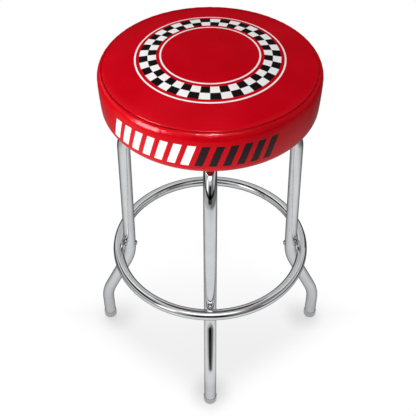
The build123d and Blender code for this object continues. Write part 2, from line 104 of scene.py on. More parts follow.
@dataclass
class Graph:
    """Adds nodes to one node tree and joins them."""

    tree: bpy.types.NodeTree

    def put(self, socket: Socket, value: Value) -> None:
        """Links or sets one input.

        Args:
            socket: the input.
            value: an output to link, or a constant.
        """
        if isinstance(value, bpy.types.NodeSocket):
            self.tree.links.new(value, socket)
        else:
            socket.default_value = value

    def node(self, kind: str, inputs: Optional[Inputs] = None, **settings: object) -> bpy.types.Node:
        """Adds a node.

        Args:
            kind: the node's type name.
            inputs: values or links by input name or number.
            settings: the node's own properties.

        Returns:
            The new node.
        """
        made = self.tree.nodes.new(kind)
        for name, value in settings.items():
            setattr(made, name, value)
        for name, value in (inputs or {}).items():
            self.put(made.inputs[name], value)
        return made

    def math(self, operation: str, *values: Value, clamp: bool = False) -> Socket:
        """Result of a Math node."""
        made = self.node("ShaderNodeMath", dict(enumerate(values)), operation=operation, use_clamp=clamp)
        return made.outputs[0]

    def product(self, *values: Value) -> Socket:
        """Product of several values."""
        return reduce(lambda first, second: self.math("MULTIPLY", first, second), values)

    def scaled(self, value: Value, by: Value, base: Value, clamp: bool = False) -> Socket:
        """A base with a scaled value added to it."""
        return self.math("MULTIPLY_ADD", value, by, base, clamp=clamp)

    def length(self, across: Value, along: Value) -> Socket:
        """Length of a flat vector."""
        return self.math("SQRT", self.scaled(across, across, self.math("MULTIPLY", along, along)))

    def ramp(self, value: Value, low: Value, high: Value, start: Value = 0.0, end: Value = 1.0) -> Socket:
        """Smooth change from start at low to end at high, where high may be the lesser limit."""
        inputs = {"Value": value, "From Min": low, "From Max": high, "To Min": start, "To Max": end}
        return self.node("ShaderNodeMapRange", inputs, interpolation_type="SMOOTHSTEP").outputs["Result"]

    def mix(self, mask: Value, first: Value, second: Value) -> Socket:
        """First colour where the mask is 0, and the second where it is 1."""
        return self.node("ShaderNodeMix", {0: mask, 6: first, 7: second}, data_type="RGBA").outputs[2]

    def place(self) -> Socket:
        """Object coordinates."""
        return self.node("ShaderNodeTexCoord").outputs["Object"]

    def axes(self, vector: Value) -> Outputs:
        """A vector's parts by axis."""
        return self.node("ShaderNodeSeparateXYZ", {0: vector}).outputs

    def noise(self, place: Value, scale: Value, detail: float = 3.0, roughness: float = 0.5) -> Socket:
        """Noise from 0 to 1, with its scale in waves per metre."""
        inputs = {"Vector": place, "Scale": scale, "Detail": detail, "Roughness": roughness}
        return self.node("ShaderNodeTexNoise", inputs).outputs["Fac"]

    def stretched(self, scale: Place, turn: Place = (0.0, 0.0, 0.0)) -> Socket:
        """Object coordinates, scaled and turned."""
        inputs = {"Vector": self.place(), "Scale": scale, "Rotation": turn}
        return self.node("ShaderNodeMapping", inputs).outputs[0]

    def effect(self, effect: "Effect", **inputs: Value) -> Outputs:
        """Outputs of a shared effect."""
        return self.node("ShaderNodeGroup", inputs, node_tree=EFFECTS.tree(effect)).outputs

    def stripe(self, value: Value, low: float, high: float) -> Socket:
        """1 between two limits, and 0 outside them."""
        return self.effect(Effect.STRIPE, Value=value, Low=low, High=high)["Mask"]

    def mirrored(self, path: Outputs) -> Socket:
        """1 for a ray that metal or glass sends on."""
        return self.math("MAXIMUM", path["Is Glossy Ray"], path["Is Transmission Ray"])


class Effect(Enum):
    """Shader effects that more than one finish uses."""

    GRAIN = "Moulded grain"
    MARKS = "Handling marks"
    DUST = "Settled dust"
    STRIPE = "Stripe"


Opened = Tuple[Graph, Outputs, Shader]


@dataclass
class Effects:
    """Builds each shared effect once, as a shader node group."""

    made: Dict[Effect, bpy.types.NodeTree] = field(default_factory=dict)

    def tree(self, effect: Effect) -> bpy.types.NodeTree:
        """Gives an effect's node group.

        Args:
            effect: which one.

        Returns:
            The group, built at its first use.
        """
        if effect not in self.made:
            build = {Effect.GRAIN: self._grain, Effect.MARKS: self._marks,
                     Effect.DUST: self._dust, Effect.STRIPE: self._stripe}[effect]
            self.made[effect] = build()
        return self.made[effect]

    def _open(self, effect: Effect, inputs: Dict[str, float], outputs: Sequence[str]) -> Opened:
        """Starts a group.

        Args:
            effect: what the group makes.
            inputs: input names and default values.
            outputs: output names.

        Returns:
            The graph, the group's inputs and its outputs.
        """
        tree = bpy.data.node_groups.new(effect.value, "ShaderNodeTree")
        for label, value in inputs.items():
            socket = tree.interface.new_socket(name=label, in_out="INPUT", socket_type="NodeSocketFloat")
            socket.default_value = value
        for label in outputs:
            tree.interface.new_socket(name=label, in_out="OUTPUT", socket_type="NodeSocketFloat")
        graph = Graph(tree)
        return graph, graph.node("NodeGroupInput").outputs, graph.node("NodeGroupOutput").inputs

    def _grain(self) -> bpy.types.NodeTree:
        """Pebbled grain with fine creases, and a slow change of tone.

        Returns:
            The group.
        """
        graph, given, result = self._open(Effect.GRAIN, {"Cells": 900.0, "Crease": 0.2}, ("Height", "Tone"))
        place = graph.place()
        wander = graph.node("ShaderNodeTexNoise", {"Vector": place, "Scale": given["Cells"], "Detail": 2.0})
        half_cell = graph.math("DIVIDE", 0.5, given["Cells"])
        shift = graph.node("ShaderNodeVectorMath", {"Vector": wander.outputs["Color"], "Scale": half_cell},
                           operation="SCALE")
        moved = graph.node("ShaderNodeVectorMath", {0: place, 1: shift.outputs[0]}, operation="ADD")
        cells = graph.node("ShaderNodeTexVoronoi", {"Vector": moved.outputs[0], "Scale": given["Cells"]},
                           feature="DISTANCE_TO_EDGE")
        graph.put(result["Height"], graph.ramp(cells.outputs["Distance"], 0.0, given["Crease"]))
        graph.put(result["Tone"], graph.noise(place, scale=14.0, detail=4.0, roughness=0.55))
        return graph.tree

    def _marks(self) -> bpy.types.NodeTree:
        """Wiped smears and fine scratches of handled metal.

        Returns:
            The group.
        """
        inputs = {"Smears": 30.0, "Scratches": 700.0}
        graph, given, result = self._open(Effect.MARKS, inputs, ("Smear", "Scratch"))
        smear = graph.noise(graph.place(), given["Smears"], detail=5.0, roughness=0.62)
        graph.put(result["Smear"], graph.ramp(smear, low=0.38, high=0.72))
        wiped = graph.stretched(scale=(1.0, 1.0, 0.05), turn=(0.35, 0.2, 0.0))
        lines = graph.noise(wiped, given["Scratches"], detail=2.0)
        graph.put(result["Scratch"], graph.ramp(lines, low=0.66, high=0.72))
        return graph.tree

    def _dust(self) -> bpy.types.NodeTree:
        """Thin dust on what faces up.

        Returns:
            The group.
        """
        graph, given, result = self._open(Effect.DUST, {"Specks": 160.0}, ("Mask",))
        normal = graph.node("ShaderNodeNewGeometry").outputs["Normal"]
        upward = graph.ramp(graph.axes(normal)["Z"], low=0.35, high=1.0)
        specks = graph.noise(graph.place(), given["Specks"], detail=6.0, roughness=0.7)
        graph.put(result["Mask"], graph.product(upward, graph.ramp(specks, low=0.42, high=0.75)))
        return graph.tree

    def _stripe(self) -> bpy.types.NodeTree:
        """1 between two limits, with a soft edge of a given width.

        Returns:
            The group.
        """
        inputs = {"Value": 0.0, "Low": 0.0, "High": 1.0, "Edge": 0.0003}
        graph, given, result = self._open(Effect.STRIPE, inputs, ("Mask",))
        masks = []
        for limit in ("Low", "High"):
            start, end = (graph.math(way, given[limit], given["Edge"]) for way in ("SUBTRACT", "ADD"))
            masks.append(graph.ramp(given["Value"], start, end))
        graph.put(result["Mask"], graph.math("SUBTRACT", *masks))
        return graph.tree


EFFECTS = Effects()


@dataclass(frozen=True)
class Finish:
    """A named material with one Principled shader."""

    name: str
    colour: Colour

    def start(self, **constants: object) -> Tuple[bpy.types.Material, Graph, Shader]:
        """Makes the material and its shader.

        Args:
            constants: shader values that are the same all over, with _ for each space.

        Returns:
            The material, its graph and the shader's inputs.
        """
        material = bpy.data.materials.new(self.name)
        material.use_nodes = True
        shader = material.node_tree.nodes["Principled BSDF"].inputs
        for name, value in constants.items():
            shader[name.replace("_", " ")].default_value = value
        material.diffuse_color = rgba(self.colour)
        return material, Graph(material.node_tree), shader

    def material(self) -> bpy.types.Material:
        """Builds the material."""
        raise NotImplementedError

    def raise_height(self, graph: Graph, shader: Shader, height: Value, depth: float) -> None:
        """Joins a height from 0 to 1, of a real depth in metres, to the shader's normal."""
        bump = graph.node("ShaderNodeBump", {"Height": height, "Distance": depth, "Strength": 1.0})
        graph.put(shader["Normal"], bump.outputs[0])


@dataclass(frozen=True)
class MetalFinish(Finish):
    """Plated or bare metal with wipe marks, scratches and a little dust.

    Polish is how rough it is where clean, and haze is what each kind of mark adds to that.
    """

    worn: Colour
    polish: float
    haze: float
    smears: float
    scratches: float
    relief: float
    # rim tints the reflection at grazing edges; below white it darkens the outline as painted edge shade
    rim: Colour = (1.0, 1.0, 1.0)
    dust: float = 0.0
    dust_tone: Colour = (0.34, 0.32, 0.3)
    dust_rough: float = 0.4

    def material(self) -> bpy.types.Material:
        """Builds the metal.

        Returns:
            The material.
        """
        material, graph, shader = self.start(Metallic=1.0, Specular_Tint=rgba(self.rim))
        marks = graph.effect(Effect.MARKS, Smears=self.smears, Scratches=self.scratches)
        dirty = graph.product(graph.effect(Effect.DUST)["Mask"], self.dust)
        tone = graph.mix(marks["Smear"], rgba(self.colour), rgba(self.worn))
        graph.put(shader["Base Color"], graph.mix(dirty, tone, rgba(self.dust_tone)))
        haze = graph.scaled(marks["Smear"], self.haze, self.polish)
        haze = graph.scaled(marks["Scratch"], self.haze, haze)
        graph.put(shader["Roughness"], graph.scaled(dirty, self.dust_rough, haze, clamp=True))
        worn = graph.math("SUBTRACT", marks["Smear"], marks["Scratch"])
        self.raise_height(graph, shader, worn, self.relief)
        return material


@dataclass(frozen=True)
class RingPrint:
    """Two thin rings and a two-row chequered ring about the centre, in metres."""

    chequers: Point = (0.096, 0.126)
    outer_row: Point = (0.111, 0.2)
    thin_rings: Tuple[Point, ...] = ((0.132, 0.135), (0.087, 0.090))
    squares: int = 40
    edge: float = 0.04

    def masks(self, graph: Graph) -> Tuple[Socket, Socket]:
        """Masks of the white and the black ink.

        Args:
            graph: the material's graph.

        Returns:
            The two masks.
        """
        axes = graph.axes(graph.place())
        reach = graph.length(axes["X"], axes["Y"])
        turn = graph.math("ARCTAN2", axes["Y"], axes["X"])
        whole = graph.stripe(reach, *self.chequers)
        row = graph.stripe(reach, *self.outer_row)
        wave = graph.math("SINE", graph.product(turn, self.squares / 2))
        odd = graph.ramp(wave, -self.edge, self.edge)
        white = graph.product(whole, graph.math("ABSOLUTE", graph.math("SUBTRACT", odd, row)))
        black = graph.math("SUBTRACT", whole, white)
        for limits in self.thin_rings:
            white = graph.math("ADD", white, graph.stripe(reach, *limits))
        return white, black


@dataclass(frozen=True)
class BarPrint:
    """A row of slanted bars across the front, white on the left and black on the right, in metres."""

    reach: float = 0.203
    heights: Point = (0.645, 0.689)
    middle: float = 0.667
    slant: float = -0.32
    pitch: float = 0.024
    bar: Point = (0.004, 0.018)
    runs: Tuple[Point, Point] = ((-8, -1), (-1, 5))

    def masks(self, graph: Graph) -> Tuple[Socket, Socket]:
        """Masks of the white and the black ink.

        Args:
            graph: the material's graph.

        Returns:
            The two masks.
        """
        axes = graph.axes(graph.place())
        turn = graph.math("ARCTAN2", axes["X"], graph.product(axes["Y"], -1.0))
        raised = graph.math("SUBTRACT", axes["Z"], self.middle)
        slanted = graph.scaled(raised, self.slant, graph.product(turn, self.reach))
        phase = graph.product(graph.math("FRACT", graph.math("DIVIDE", slanted, self.pitch)), self.pitch)
        bars = graph.product(graph.stripe(phase, *self.bar), graph.stripe(axes["Z"], *self.heights))
        white, black = (graph.stripe(slanted, first * self.pitch, last * self.pitch)
                        for first, last in self.runs)
        return graph.product(bars, white), graph.product(bars, black)


@dataclass(frozen=True)
class VinylFinish(Finish):
    """Glossy upholstery vinyl with a fine pebbled grain and a screen print."""

    deep: Colour
    inks: Union[RingPrint, BarPrint]
    white_ink: Colour = (0.88, 0.87, 0.86)
    black_ink: Colour = (0.006, 0.006, 0.007)
    sheen: Colour = (1.0, 0.32, 0.35)
    specular: float = 0.45
    cells: float = 950.0
    crease: float = 0.22
    tone_limits: Point = (0.3, 0.75)
    gloss: float = 0.09
    tone_rough: float = 0.12
    ink_rough: float = 0.09
    ink_height: float = 0.6
    relief: float = 0.000012

    def material(self) -> bpy.types.Material:
        """Builds the vinyl.

        Returns:
            The material.
        """
        material, graph, shader = self.start(Specular_IOR_Level=self.specular, Specular_Tint=rgba(self.sheen))
        grain = graph.effect(Effect.GRAIN, Cells=self.cells, Crease=self.crease)
        white, black = self.inks.masks(graph)
        tone = graph.ramp(grain["Tone"], *self.tone_limits)
        dyed = graph.mix(tone, rgba(self.deep), rgba(self.colour))
        inked = graph.mix(white, dyed, rgba(self.white_ink))
        graph.put(shader["Base Color"], graph.mix(black, inked, rgba(self.black_ink)))
        ink = graph.math("MAXIMUM", white, black)
        rough = graph.scaled(grain["Tone"], self.tone_rough, self.gloss)
        graph.put(shader["Roughness"], graph.scaled(ink, self.ink_rough, rough))
        height = graph.scaled(ink, self.ink_height, grain["Height"])
        self.raise_height(graph, shader, height, self.relief)
        return material


@dataclass(frozen=True)
class PlasticFinish(Finish):
    """Moulded opaque plastic with a faint texture."""

    gloss: float
    shade: Colour
    refraction: float = 1.46
    cells: float = 1400.0
    crease: float = 0.3
    specks: float = 240.0
    tone_rough: float = 0.15
    dust_rough: float = 0.2
    relief: float = 0.00002

    def material(self) -> bpy.types.Material:
        """Builds the plastic.

        Returns:
            The material.
        """
        material, graph, shader = self.start(IOR=self.refraction)
        grain = graph.effect(Effect.GRAIN, Cells=self.cells, Crease=self.crease)
        dust = graph.effect(Effect.DUST, Specks=self.specks)["Mask"]
        graph.put(shader["Base Color"], graph.mix(grain["Tone"], rgba(self.colour), rgba(self.shade)))
        rough = graph.scaled(grain["Tone"], self.tone_rough, self.gloss)
        graph.put(shader["Roughness"], graph.scaled(dust, self.dust_rough, rough, clamp=True))
        self.raise_height(graph, shader, grain["Height"], self.relief)
        return material


@dataclass(frozen=True)
class WoodFinish(Finish):
    """Rotary-cut plywood: long grain on the faces and layers on the edge."""

    late: Colour = (0.36, 0.22, 0.11)
    layer: float = 0.0024
    layer_edge: float = 0.2
    layer_share: float = 0.25
    relief: float = 0.00008

    def material(self) -> bpy.types.Material:
        """Builds the plywood.

        Returns:
            The material.
        """
        material, graph, shader = self.start(Specular_IOR_Level=0.3)
        bands = graph.noise(graph.stretched((6.0, 60.0, 60.0)), scale=1.0, detail=6.0, roughness=0.65)
        pores = graph.noise(graph.stretched((40.0, 900.0, 900.0)), scale=1.0, detail=2.0)
        height = graph.axes(graph.place())["Z"]
        plies = graph.math("SINE", graph.product(height, math.pi / self.layer))
        faces = graph.ramp(bands, low=0.35, high=0.7, end=1.0 - self.layer_share)
        grain = graph.scaled(graph.ramp(plies, -self.layer_edge, self.layer_edge), self.layer_share, faces)
        graph.put(shader["Base Color"], graph.mix(grain, rgba(self.colour), rgba(self.late)))
        graph.put(shader["Roughness"], graph.scaled(bands, by=0.25, base=0.5))
        self.raise_height(graph, shader, pores, self.relief)
        return material


@dataclass(frozen=True)
class ClothFinish(Finish):
    """Pressed fibre cloth with a field of small bonded dots, or twisted thread."""

    light: Colour = (0.03, 0.03, 0.032)
    dots: float = 700.0
    dot_limits: Point = (0.18, 0.4)
    uneven: float = 0.15
    fibres: float = 2600.0
    fibre_height: float = 0.4
    specks: float = 300.0
    dust: float = 0.2
    dust_tone: Colour = (0.3, 0.29, 0.27)
    relief: float = 0.0001

    def material(self) -> bpy.types.Material:
        """Builds the cloth.

        Returns:
            The material.
        """
        material, graph, shader = self.start(Sheen_Weight=0.25, Specular_IOR_Level=0.2)
        fibres = graph.noise(graph.place(), self.fibres, detail=4.0, roughness=0.7)
        dots = graph.node("ShaderNodeTexVoronoi", {"Vector": graph.place(), "Scale": self.dots,
                                                   "Randomness": self.uneven})
        pressed = graph.ramp(dots.outputs["Distance"], *self.dot_limits)
        dust = graph.product(graph.effect(Effect.DUST, Specks=self.specks)["Mask"], self.dust)
        tone = graph.mix(graph.product(fibres, pressed), rgba(self.colour), rgba(self.light))
        graph.put(shader["Base Color"], graph.mix(dust, tone, rgba(self.dust_tone)))
        graph.put(shader["Roughness"], graph.scaled(fibres, by=0.2, base=0.72))
        self.raise_height(graph, shader, graph.scaled(fibres, self.fibre_height, pressed), self.relief)
        return material


class Finishes:
    """Every finish on the stool, each made into a material once."""

    # The chrome's dark grey rim is painted edge shade on the tubes' outlines.
    CHROME_TUBE = MetalFinish("chrome_tube", (0.86, 0.87, 0.88), worn=(0.8, 0.81, 0.83), polish=0.03,
                              haze=0.05, smears=26.0, scratches=900.0, relief=0.000004,
                              rim=(0.3, 0.3, 0.3), dust=0.04)
    CHROME_SCREW = MetalFinish("chrome_screw", (0.8, 0.81, 0.82), worn=(0.66, 0.67, 0.69), polish=0.08,
                               haze=0.1, smears=120.0, scratches=1600.0, relief=0.000006)
    ZINC = MetalFinish("zinc_steel", (0.62, 0.64, 0.67), worn=(0.45, 0.47, 0.5), polish=0.26, haze=0.2,
                       smears=90.0, scratches=800.0, relief=0.00002, dust=0.25)
    BALL = MetalFinish("ball_steel", (0.68, 0.68, 0.69), worn=(0.55, 0.55, 0.55), polish=0.08, haze=0.12,
                       smears=300.0, scratches=2000.0, relief=0.000003)
    BRASS = MetalFinish("retainer_brass", (0.74, 0.53, 0.22), worn=(0.55, 0.38, 0.15), polish=0.22, haze=0.2,
                        smears=120.0, scratches=900.0, relief=0.00001)
    WIRE = MetalFinish("staple_wire", (0.6, 0.6, 0.6), worn=(0.42, 0.42, 0.43), polish=0.2, haze=0.2,
                       smears=300.0, scratches=1500.0, relief=0.00001)
    CAP = PlasticFinish("cap_plastic", (0.94, 0.95, 0.96), gloss=0.12, shade=(0.86, 0.87, 0.88))
    NYLON = PlasticFinish("white_nylon", (0.78, 0.77, 0.72), gloss=0.38, shade=(0.68, 0.67, 0.61))
    PLYWOOD = WoodFinish("plywood", (0.56, 0.4, 0.23))
    TOP = VinylFinish("red_vinyl_top", (0.56, 0.0, 0.008), deep=(0.5, 0.0, 0.006), inks=RingPrint())
    BAND = VinylFinish("red_vinyl_band", (0.54, 0.0, 0.006), deep=(0.48, 0.0, 0.005), inks=BarPrint())
    CLOTH = ClothFinish("black_cloth", (0.008, 0.008, 0.009))
    # Thread darker than the vinyl: partly its own colour, partly painted shade deepening the seam's groove.
    THREAD_AND_GROOVE_SHADE = ClothFinish("red_thread", (0.3, 0.0, 0.004), light=(0.45, 0.01, 0.02), dots=3000.0,
                         fibres=6000.0, relief=0.00005)

    def __init__(self) -> None:
        """Starts with no material made."""
        self._made: Dict[str, bpy.types.Material] = {}

    def get(self, finish: Finish) -> bpy.types.Material:
        """Gives a finish's material.

        Args:
            finish: one of the finishes above.

        Returns:
            Its material.
        """
        if finish.name not in self._made:
            self._made[finish.name] = finish.material()
        return self._made[finish.name]


FINISHES = Finishes()


def dress(node: str, finish: Finish) -> None:
    """Gives a CAD node a finish.

    Args:
        node: the node's name.
        finish: its finish.
    """
    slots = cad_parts[node].data.materials
    slots.clear()
    slots.append(FINISHES.get(finish))
    LOG.info("%s: %s", node, finish.name)


def put_in_scene(name: str, data: bpy.types.ID) -> bpy.types.Object:
    """Adds an object at the origin.

    Args:
        name: its name.
        data: its mesh, lamp or camera.

    Returns:
        The object.
    """
    made = bpy.data.objects.new(name, data)
    bpy.context.scene.collection.objects.link(made)
    return made


def add_piece(name: str, mesh: bpy.types.Mesh, finish: Finish) -> bpy.types.Object:
    """Puts a mesh in the scene as a smooth piece.

    Args:
        name: the piece's name.
        mesh: its mesh, with its place in it.
        finish: its finish.

    Returns:
        The new object, at the origin.
    """
    mesh.name = name
    mesh.materials.clear()
    mesh.materials.append(FINISHES.get(finish))
    mesh.shade_smooth()
    return put_in_scene(name, mesh)


def settle_piece(piece: bpy.types.Object, body: Body, slot: str, *nodes: str) -> None:
    """Makes a piece ride on a body and stand for CAD nodes.

    Args:
        piece: the piece.
        body: what it rides on.
        slot: the record's material slot; not used.
        nodes: the CAD nodes it stands for.
    """
    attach(piece, body.value)
    if nodes:
        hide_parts(*nodes)
    LOG.info("%s: rides on %s, %d faces", piece.name, body.value, len(piece.data.polygons))


def around(count: int) -> np.ndarray:
    """Even turns of a full circle, in radians."""
    return np.linspace(0, 2 * math.pi, count, endpoint=False)


def arc(start: Point, end: Point, lean: float, count: int) -> np.ndarray:
    """Points of an arc from its ends and the lean of its start.

    Args:
        start: first point (reach, height).
        end: last point.
        lean: direction of travel at the start, in radians from the level.
        count: steps.

    Returns:
        Points after the first one, the last one included.
    """
    across, up = end[0] - start[0], end[1] - start[1]
    half = (math.atan2(up, across) - lean + math.pi) % (2 * math.pi) - math.pi
    length = math.hypot(across, up) * half / math.sin(half)
    lean_at = lean + 2 * half * np.linspace(0, 1, count + 1)[1:]
    reach = start[0] + length * (np.sin(lean_at) - math.sin(lean)) / (2 * half)
    height = start[1] - length * (np.cos(lean_at) - math.cos(lean)) / (2 * half)
    return np.stack([reach, height], 1)


def end_lean(start: Point, end: Point, lean: float) -> float:
    """Lean of an arc where it ends, from its ends and its lean at the start."""
    return 2 * math.atan2(end[1] - start[1], end[0] - start[0]) - lean


def spun(section: np.ndarray, turn: np.ndarray) -> np.ndarray:
    """Turns a half section about the upright axis.

    Args:
        section: points (reach, height).
        turn: where each copy stands, in radians.

    Returns:
        Points by place on the section and turn.
    """
    reach, height = section[:, :1], section[:, 1:]
    level = np.broadcast_to(height, (len(section), len(turn)))
    return np.stack([reach * np.cos(turn), reach * np.sin(turn), level], 2)


def plain_mesh(name: str, made: bmesh.types.BMesh) -> bpy.types.Mesh:
    """Ends the making of a mesh.

    Args:
        name: its name.
        made: its faces, freed here.

    Returns:
        The mesh.
    """
    mesh = bpy.data.meshes.new(name)
    made.to_mesh(mesh)
    made.free()
    return mesh


def ring_mesh(grid: np.ndarray, poles: bool = False, looped: bool = False) -> bpy.types.Mesh:
    """Mesh of a grid of closed rings.

    Args:
        grid: points by ring and segment.
        poles: whether the first and last rings are closed by a point.
        looped: whether the last ring joins the first.

    Returns:
        The mesh, facing outwards.
    """
    made = bmesh.new()
    rings = [[made.verts.new(p) for p in ring] for ring in grid]
    pairs = list(zip(rings, rings[1:])) + ([(rings[-1], rings[0])] if looped else [])
    for upper, lower in pairs:
        for at in range(len(upper)):
            after = (at + 1) % len(upper)
            made.faces.new((upper[at], lower[at], lower[after], upper[after]))
    for ring in (rings[0], rings[-1]) if poles else ():
        middle = made.verts.new(sum((v.co for v in ring), Vector()) / len(ring))
        for at, vert in enumerate(ring):
            made.faces.new((middle, vert, ring[(at + 1) % len(ring)]))
    bmesh.ops.recalc_face_normals(made, faces=made.faces)
    return plain_mesh("rings", made)


@dataclass
class Cushion:
    """The padded seat: vinyl top panel, side band, their seam and the dust cover.

    A point is (reach, height) on a half section, and steps are the points along an arc or a run.
    """

    height: float = 0.737
    seam: Point = (0.1945, 0.712)
    shoulder: Point = (0.180, 0.7166)
    band_shoulder: Point = (0.19705, 0.7109)
    bulge: Point = (0.203, 0.6975)
    edge_start: Point = (0.20067, 0.64031)
    edge_end: Point = (0.18376, 0.625)
    flap_reach: float = 0.1558
    hub: float = 0.0008
    lip: float = 0.006
    lip_dip: float = math.radians(45.0)
    near_seam: float = 0.02
    top_roll: float = 0.0018
    band_roll: float = 0.0020
    seam_gap: float = 0.0004
    stitch_inset: float = 1.5 * MM
    inner_reaches: Point = (0.13, 0.06)
    board_reach: float = 0.1832
    board_z: float = 0.62615
    band_mid_z: float = 0.66
    dome_steps: int = 30
    shoulder_steps: int = 176
    seam_steps: int = 32
    bulge_steps: int = 144
    side_steps: int = 14
    edge_steps: int = 12
    flap_steps: int = 5
    roll_steps: int = 10
    lip_steps: int = 3
    fine_steps: int = 8
    segments: int = 320
    seam_hold: int = 12
    board_hold: int = 6
    pressure: float = 1.5
    bending: float = 2.0
    frames: int = 16
    most_swell: float = 0.0015
    least_move: float = 1e-9
    calm_waves: float = 9.0
    crease: float = 0.06
    pucker: float = 0.00022
    pucker_waves: range = range(24, 96, 3)
    pucker_calm: float = 5.0
    top_pull: Point = (0.006, 0.3)
    band_pull: Point = (0.013, 1.0)
    seed: int = 7

    def build(self) -> None:
        """Builds and dresses the whole cushion."""
        top, band = self.top_section(), self.band_section()
        grid = self.turned(np.concatenate([top, band]))
        grid = self.swell(grid, self.held_rings(top, band))
        grid = self.finer(grid)
        self.ruffle(grid, len(top))
        upper, lower = grid[:len(top)], grid[len(top):]
        self.add_panel("cushion_top", self.closed_top(upper), Finishes.TOP, "seat_top_panel", "seat_foam")
        self.add_panel("cushion_band", self.closed_band(lower), Finishes.BAND, "seat_side_band")
        SeamStitches(*(at - self.stitch_inset for at in self.seam)).build()
        DustCover().build()

    def top_section(self) -> np.ndarray:
        """Half section of the top panel, from its centre to the end of its lip.

        Returns:
            Its points.
        """
        first = np.array([[self.hub, self.height]])
        crown = (0.0, self.height)
        dome = arc(crown, self.shoulder, 0.0, self.dome_steps)
        edge = arc(self.shoulder, self.seam, end_lean(crown, self.shoulder, 0.0), self.shoulder_steps)
        return self.rolled(np.concatenate([first, dome, edge]), 1, self.top_roll, len(first) + len(dome))

    def band_section(self) -> np.ndarray:
        """Half section of the side band, from the end of its lip to the edge of its flap.

        Returns:
            Its points.
        """
        down = -math.pi / 2
        rising = end_lean(self.bulge, self.band_shoulder, math.pi / 2)
        lean = end_lean(self.band_shoulder, self.seam, rising) - math.pi
        swell = np.concatenate([arc(self.seam, self.band_shoulder, lean, self.seam_steps),
                                arc(self.band_shoulder, self.bulge, rising - math.pi, self.bulge_steps)])
        upper = self.rolled(swell[::-1], -1, self.band_roll, 0)[::-1]
        side = arc(self.bulge, self.edge_start, down, self.side_steps)
        lean = end_lean(self.bulge, self.edge_start, down)
        edge = arc(self.edge_start, self.edge_end, lean, self.edge_steps)
        flap = np.linspace(self.edge_end, (self.flap_reach, self.edge_end[1]), self.flap_steps)[1:]
        return np.concatenate([upper, side, edge, flap])

    def rolled(self, section: np.ndarray, side: int, roll: float, keep: int) -> np.ndarray:
        """Ends a section in a small roll and a lip turned in at the seam.

        Args:
            section: points towards the seam.
            side: 1 for the panel above the seam, -1 for the one below it.
            roll: radius of the roll.
            keep: how many first points are all kept; after them, one of each few fine steps is.

        Returns:
            The section with its roll and lip.
        """
        travel = np.gradient(section, axis=0)
        travel /= np.linalg.norm(travel, axis=1)[:, None]
        outward = side * np.stack([-travel[:, 1], travel[:, 0]], 1)
        away = self.away(side)
        centres = section - outward * roll
        apart = (centres - self.seam) @ away - self.seam_gap - roll
        near = section[:, 0] > self.seam[0] - self.near_seam
        last = int(np.argmin(np.where(near, np.abs(apart), 1.0)))
        turns = np.linspace(math.atan2(*outward[last][::-1]), math.atan2(*-away[::-1]), self.roll_steps)
        round_off = centres[last] + roll * np.stack([np.cos(turns), np.sin(turns)], 1)
        lip = np.linspace(round_off[-1], self.lip_end(side), self.lip_steps)[1:]
        return np.concatenate([section[:keep], section[keep:last:self.fine_steps], round_off, lip])

    def away(self, side: int) -> np.ndarray:
        """Direction square to the lips, from the seam to the panel above it (1) or below it (-1)."""
        return side * np.array([-math.sin(self.lip_dip), math.cos(self.lip_dip)])

    def lip_end(self, side: int) -> np.ndarray:
        """Inner end of the lip of the panel above the seam (1) or below it (-1)."""
        inward = self.lip * np.array([math.cos(self.lip_dip), math.sin(self.lip_dip)])
        return np.array(self.seam) + self.seam_gap * self.away(side) - inward

    def turned(self, section: np.ndarray, finer: int = 1) -> np.ndarray:
        """Turns a section, with some times more segments than the simulated skin has."""
        return spun(section, around(self.segments * finer))

    def finer(self, grid: np.ndarray) -> np.ndarray:
        """Doubles the segments on smooth cubic curves through the points.

        Args:
            grid: points by ring and segment.

        Returns:
            The finer points.
        """
        ahead, behind, beyond = (np.roll(grid, by, axis=1) for by in (-1, 1, -2))
        doubled = np.empty((grid.shape[0], 2 * grid.shape[1], 3))
        doubled[:, ::2] = grid
        doubled[:, 1::2] = (9 * (grid + ahead) - behind - beyond) / 16
        return doubled

    def ruffle(self, grid: np.ndarray, seam: int) -> None:
        """Puckers the skin next to the seam, as a sewn seam draws it.

        Args:
            grid: points by ring and segment, changed in place.
            seam: first ring below the seam.
        """
        draw = np.random.default_rng(self.seed)
        turn = around(grid.shape[1])
        waves = [(count, draw.normal() / self.pucker_calm, draw.uniform(0, 2 * math.pi))
                 for count in self.pucker_waves]
        ripple = sum(size * np.sin(count * turn + phase) for count, size, phase in waves)
        for at, ring in enumerate(grid):
            gap = math.hypot(ring[0, 0] - self.seam[0], ring[0, 2] - self.seam[1])
            reach, pull = self.top_pull if at < seam else self.band_pull
            fade = math.exp(-gap / reach) * self.pucker * pull
            outward = ring[:, :2] / np.linalg.norm(ring[:, :2], axis=1)[:, None]
            ring[:, :2] += outward * (ripple * fade)[:, None]

    def held_rings(self, top: np.ndarray, band: np.ndarray) -> np.ndarray:
        """Rings that the seam and the board hold.

        Args:
            top: section of the top panel.
            band: section of the band.

        Returns:
            True for each ring that is held.
        """
        held = np.zeros(len(top) + len(band), bool)
        held[len(top) - self.seam_hold:len(top) + self.seam_hold] = True
        held[-self.board_hold:] = True
        return held

